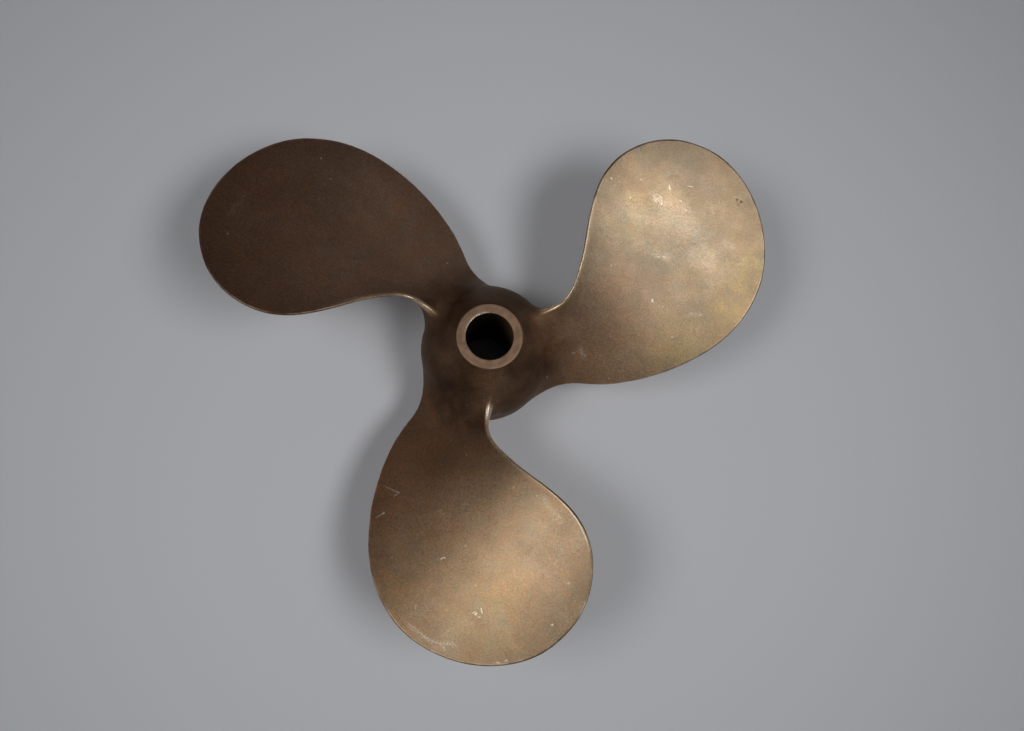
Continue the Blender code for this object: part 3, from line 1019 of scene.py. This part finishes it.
    def edge_wear_and_highlight(self):
        """Thin edges are rubbed bright here and there, and a painted highlight runs along part of
        the lower blade's right edge.
        """
        thin = self.step(self.gap, *THIN_EDGE)
        patchy = self.step(self.blotches, *EDGE_WEAR)
        rubbed = self.times(thin, patchy, self.step(self.left, *LEFT_EDGE_WEAR))
        painted_highlight = self.strokes(self.ragged, EDGE_HIGHLIGHT)
        painted_highlight = self.times(self.step(self.gap, *EDGE_HIGHLIGHT_REACH), painted_highlight)
        return self.math("MAXIMUM", rubbed, painted_highlight)

    def roughness(self, pale):
        clouds = self.step(self.clouds, *CLOUD_ROUGHNESS)
        roughness = self.plus(clouds, self.step(self.on_blade, *HUB_ROUGHNESS))
        for mask, smoothing in ((self.ridge, RIDGE_SMOOTHING), (self.glint, GLINT_SMOOTHING)):
            roughness = self.math("SUBTRACT", roughness, self.times(mask, smoothing))
        roughness = self.plus(roughness, self.times(pale, PALE_ROUGHENING))
        return self.plus(roughness, self.step(self.grain, *GRAIN_ROUGHNESS))

    def relief(self, dark):
        height = self.plus(self.times(self.grain, GRAIN_RELIEF), self.times(self.grit, GRIT_RELIEF))
        return self.math("SUBTRACT", height, self.times(dark, PIT_RELIEF))


def cast_material():
    graph = CastBronze()
    pale = graph.pale_marks()
    dark = graph.dark_marks()
    colour = graph.dusted(graph.tinted(graph.mottled(graph.patina())))
    colour = graph.mix(graph.times(pale, PALE_COVER), colour, PALE_MARK_AND_GLINT)
    colour = graph.mix(graph.times(dark, DARK_COVER), colour, DARK_MARK)
    # Rubbed edges, and the painted highlight on the lower blade's right edge
    colour = graph.mix(graph.edge_wear_and_highlight(), colour, RUBBED_EDGE_AND_HIGHLIGHT)
    graph.set_shader(
        Base_Color=colour,
        Metallic=graph.step(graph.worn_and_lit, *CAST_METALLIC),
        Specular_IOR_Level=graph.step(graph.on_blade, *CAST_GLOSS),
        Specular_Tint=GRAZING_TINT,
        Roughness=graph.roughness(pale),
    )
    graph.bump(graph.relief(dark))
    return graph.material


def machined_material():
    """Turned end faces: plain brown bronze with fine rings from the tool, and painted glints on the
    bore's lip at the upper left.
    """
    graph = Graph("turned_bronze")
    length = graph.vector_math("LENGTH", graph.plan)["Value"]
    by_radius = graph.add("ShaderNodeCombineXYZ", X=length).outputs[0]
    rings = graph.noise(*TOOL_RINGS, by_radius)
    blotches = graph.noise(*TURNED_BLOTCHES)
    colour = graph.mix(graph.step(blotches, *TURNED_MIX), TURNED_DARK, TURNED_LIGHT)
    colour = graph.mix(1.0, colour, graph.step(rings, *TOOL_RING_TONE), "MULTIPLY")
    # Painted glints, broken into specks, on the upper left of the bore's lip
    lip = graph.step(graph.distance_to((0.0, 0.0)), *LIP_REACH)
    breaks = graph.step(graph.noise(*LIP_GLINT_BREAKS), *LIP_GLINT_SPECKS)
    colour = graph.mix(graph.times(lip, graph.blob(LIP_GLINTS), breaks), colour, PALE_MARK_AND_GLINT)
    graph.set_shader(
        Base_Color=colour,
        Metallic=TURNED_METALLIC,
        Roughness=graph.step(blotches, *TURNED_ROUGHNESS),
    )
    graph.bump(rings)
    return graph.material


def bore_material():
    """Bored taper: dark, and darker deeper in as painted shade, with a painted sheen on the upper
    right of its wall.
    """
    graph = Graph("bored_bronze")
    height = graph.axes[2]
    blotches = graph.noise(*BORE_BLOTCHES)
    colour = graph.mix(blotches, BORE_DARK, BORE_LIGHT)
    # Painted sheen on the upper right of the wall towards the aft end
    sheen = graph.times(graph.blob(BORE_SHEEN_PATCH), graph.step(height, *BORE_SHEEN_RISE))
    colour = graph.mix(sheen, colour, BORE_SHEEN)
    # Painted shade, darker deeper in the hole towards its forward end
    colour = graph.mix(1.0, colour, graph.step(height, *BORE_DEPTH_SHADE), "MULTIPLY")
    graph.set_shader(
        Base_Color=colour,
        Metallic=BORE_METALLIC,
        Specular_IOR_Level=BORE_GLOSS,
        Roughness=graph.step(blotches, *BORE_ROUGHNESS),
    )
    return graph.material


def add_camera():
    data = bpy.data.cameras.new("camera")
    data.lens = CAMERA_LENS
    data.sensor_width = CAMERA_SENSOR
    camera = bpy.data.objects.new("camera", data)
    camera.location = CAMERA_PLACE
    camera.rotation_euler = Euler([math.radians(a) for a in CAMERA_TURN], "XYZ")
    bpy.context.scene.collection.objects.link(camera)
    bpy.context.scene.camera = camera


def add_soft_box(name, place, size, watts):
    data = bpy.data.lights.new(name, "AREA")
    data.shape = "RECTANGLE"
    data.size, data.size_y = size
    data.energy = watts
    data.spread = math.radians(LIGHT_SPREAD)
    light = bpy.data.objects.new(name, data)
    light.location = place
    light.rotation_euler = (-Vector(place)).to_track_quat("-Z", "Y").to_euler()
    bpy.context.scene.collection.objects.link(light)


def add_floor():
    bpy.ops.mesh.primitive_plane_add(size=FLOOR_SIZE, location=(0, 0, 0))
    floor = bpy.context.object
    floor.name = "floor"
    material = bpy.data.materials.new("floor")
    material.use_nodes = True
    shader = material.node_tree.nodes["Principled BSDF"]
    shader.inputs["Base Color"].default_value = FLOOR_COLOUR
    shader.inputs["Roughness"].default_value = FLOOR_ROUGHNESS
    shader.inputs["Specular IOR Level"].default_value = FLOOR_GLOSS
    floor.data.materials.append(material)


def add_world():
    """Surroundings of the studio, pale at the horizon and darker overhead."""
    world = bpy.data.worlds.new("studio")
    world.use_nodes = True
    tree = world.node_tree
    direction = tree.nodes.new("ShaderNodeTexCoord").outputs["Generated"]
    axes = tree.nodes.new("ShaderNodeSeparateXYZ")
    tree.links.new(direction, axes.inputs["Vector"])
    fade = tree.nodes.new("ShaderNodeMapRange")
    fade.interpolation_type = "SMOOTHSTEP"
    tree.links.new(axes.outputs["Z"], fade.inputs["Value"])
    fade.inputs["From Min"].default_value = 0.0
    fade.inputs["From Max"].default_value = 1.0
    fade.inputs["To Min"].default_value = HORIZON_LIGHT
    fade.inputs["To Max"].default_value = OVERHEAD_LIGHT
    tree.links.new(fade.outputs["Result"], tree.nodes["Background"].inputs["Strength"])
    tree.nodes["Background"].inputs["Color"].default_value = (1.0, 1.0, 1.0, 1.0)
    bpy.context.scene.world = world


bpy.context.scene.view_settings.view_transform = "Standard"
add_camera()
add_world()
add_floor()
for name, row in SOFT_BOXES.items():
    add_soft_box(name, *row)

propeller = build_propeller()
for material in (cast_material(), machined_material(), bore_material()):
    propeller.data.materials.append(material)
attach(propeller, "root")
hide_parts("propeller")

bpy.context.view_layer.update()
